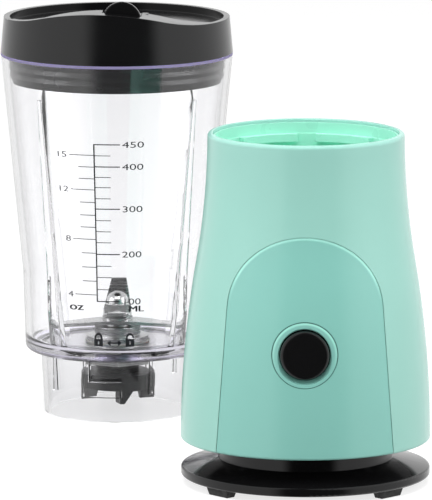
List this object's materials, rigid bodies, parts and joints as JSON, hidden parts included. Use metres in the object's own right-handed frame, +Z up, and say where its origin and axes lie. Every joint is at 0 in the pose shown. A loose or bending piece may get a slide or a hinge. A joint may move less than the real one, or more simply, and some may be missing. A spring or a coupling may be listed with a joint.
{
  "type": "single-serve blender",
  "caption": "Push-button single-serve blender: mint motor base with docking collar, clear travel jar with blade unit standing beside it, black lid with flip sip cap.",
  "frame": {"origin": "on the table, under the middle of the pair: the centre of the underside of the box round base and jar", "axes": "+Z up along the motor shaft; -Y is the side with the push button; +X to the right seen from the button's side; the base stands at +X -Y, the jar at -X +Y"},
  "size_m": [0.1802, 0.2505, 0.1796],
  "materials": {
    "mint_shell": "glossy mint ABS moulding",
    "mint_panel": "glossy mint ABS moulding, one shade deeper",
    "mint_well": "bright mint moulding inside the collar",
    "mint_ring": "glossy mint, dished ring",
    "black_gloss": "gloss black ABS",
    "button_black": "gloss black push button",
    "lid_black": "gloss black polypropylene",
    "foot_rubber": "black rubber",
    "soft_black": "soft black PVC",
    "black_matte": "matt black nylon",
    "white_nylon": "natural white nylon",
    "brass": "drawn brass tube",
    "carbon": "pressed carbon",
    "spring_steel": "zinc plated spring wire",
    "screw_steel": "zinc plated steel",
    "bright_steel": "ground stainless steel",
    "cast_alloy": "die cast alloy",
    "lamination": "stacked electrical steel",
    "copper_wire": "enamelled copper wire",
    "copper_bar": "bare copper bars",
    "bronze": "sintered bronze",
    "coupling_black": "glass filled black nylon",
    "clear_jar": "clear copolyester, gloss",
    "blade_steel": "ground stainless steel",
    "white_silicone": "white silicone",
    "hub_nut_steel": "turned alloy nut",
    "seal_silicone": "black silicone"
  },
  "bodies": {
    "base": {"housing": "mint_shell", "front_panel": "mint_panel", "docking_well": "mint_well", "base_plate": "black_gloss", "foot_pads": "foot_rubber", "plate_screws": "screw_steel", "cord_gland": "soft_black", "button_ring": "mint_ring", "switch": "black_matte", "button_guide": "black_matte", "button_spring": "spring_steel", "lower_motor_bush": "bronze", "upper_motor_bush": "bronze", "lower_motor_frame": "cast_alloy", "upper_motor_frame": "cast_alloy", "stator_core": "lamination", "field_coils": "copper_wire", "brush_holders": "brass", "carbon_brushes": "carbon", "motor_bolts": "screw_steel", "lower_rubber_mounts": "foot_rubber", "upper_rubber_mounts": "foot_rubber"},
    "button": {"button": "button_black", "switch_plunger": "white_nylon"},
    "rotor": {"motor_shaft": "bright_steel", "armature_core": "lamination", "armature_windings": "copper_wire", "commutator": "copper_bar", "cooling_fan": "white_nylon", "slinger_washer": "black_matte", "drive_coupling": "coupling_black"},
    "jar": {"jar": "clear_jar", "bearing_hub": "blade_steel", "hub_gasket": "white_silicone", "hub_nut": "hub_nut_steel", "lower_blade_bush": "bronze", "upper_blade_bush": "bronze", "shaft_seal": "soft_black"},
    "blade_unit": {"blade_shaft": "bright_steel", "thrust_washer": "bright_steel", "lower_blade": "blade_steel", "blade_spacer": "bright_steel", "upper_blade": "blade_steel", "blade_cap_nut": "bright_steel", "driven_coupling": "coupling_black"},
    "lid": {"lid": "lid_black", "lid_seal": "seal_silicone", "flap_pin": "bright_steel"},
    "flap": {"sip_flap": "lid_black"}
  },
  "joints": [
    {"name": "button_press", "type": "slide", "parent": "base", "child": "button", "axis": [0, 1, 0], "range_m": [0, 0.0025], "stiffness_N_per_m": 600, "springref_m": -0.002, "deforming": ["button_spring"]},
    {"name": "rotor_spin", "type": "hinge", "parent": "base", "child": "rotor", "pos_m": [0.03997, -0.07518, 0.07], "axis": [0, 0, 1], "continuous": true},
    {"name": "jar_lift", "type": "slide", "parent": "base", "child": "jar", "axis": [0, 0, 1], "range_m": [0, 0.15]},
    {"name": "blade_spin", "type": "hinge", "parent": "jar", "child": "blade_unit", "pos_m": [-0.04102, 0.07623, 0.03], "axis": [0, 0, 1], "continuous": true},
    {"name": "lid_lift", "type": "slide", "parent": "jar", "child": "lid", "axis": [0, 0, 1], "range_m": [0, 0.045]},
    {"name": "flap_hinge", "type": "hinge", "parent": "lid", "child": "flap", "pos_m": [-0.03753, 0.04963, 0.17167], "axis": [-1, 0, 0], "range_deg": [0, 110]}
  ]
}
